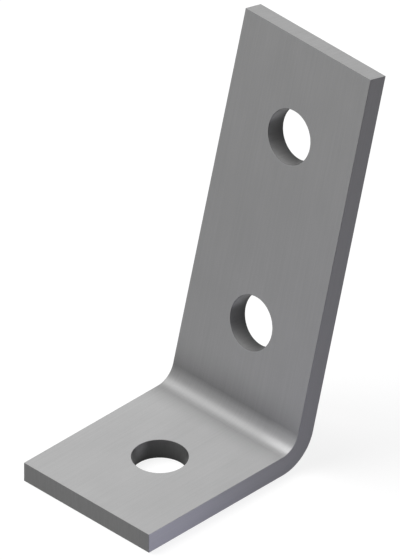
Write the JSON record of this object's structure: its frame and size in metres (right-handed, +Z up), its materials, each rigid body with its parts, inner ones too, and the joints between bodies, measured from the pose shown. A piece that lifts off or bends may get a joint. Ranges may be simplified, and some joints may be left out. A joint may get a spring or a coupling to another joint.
{
  "type": "strut angle fitting",
  "caption": "Flat steel bar folded once to an open angle, with bolt holes in both legs, for joining framing channels or braces that meet at a slant.",
  "frame": {"origin": "centre of the short leg's bolt hole, on the seat face under that leg", "axes": "+X along the short leg to the fold, +Y across the bar, +Z up from the seat face, the way the long leg rises"},
  "size_m": [0.0757, 0.04, 0.0954],
  "materials": {
    "zinc_steel": "smooth grey zinc-plated steel, satin"
  },
  "bodies": {
    "root": {"angle_fitting": "zinc_steel"}
  },
  "joints": []
}
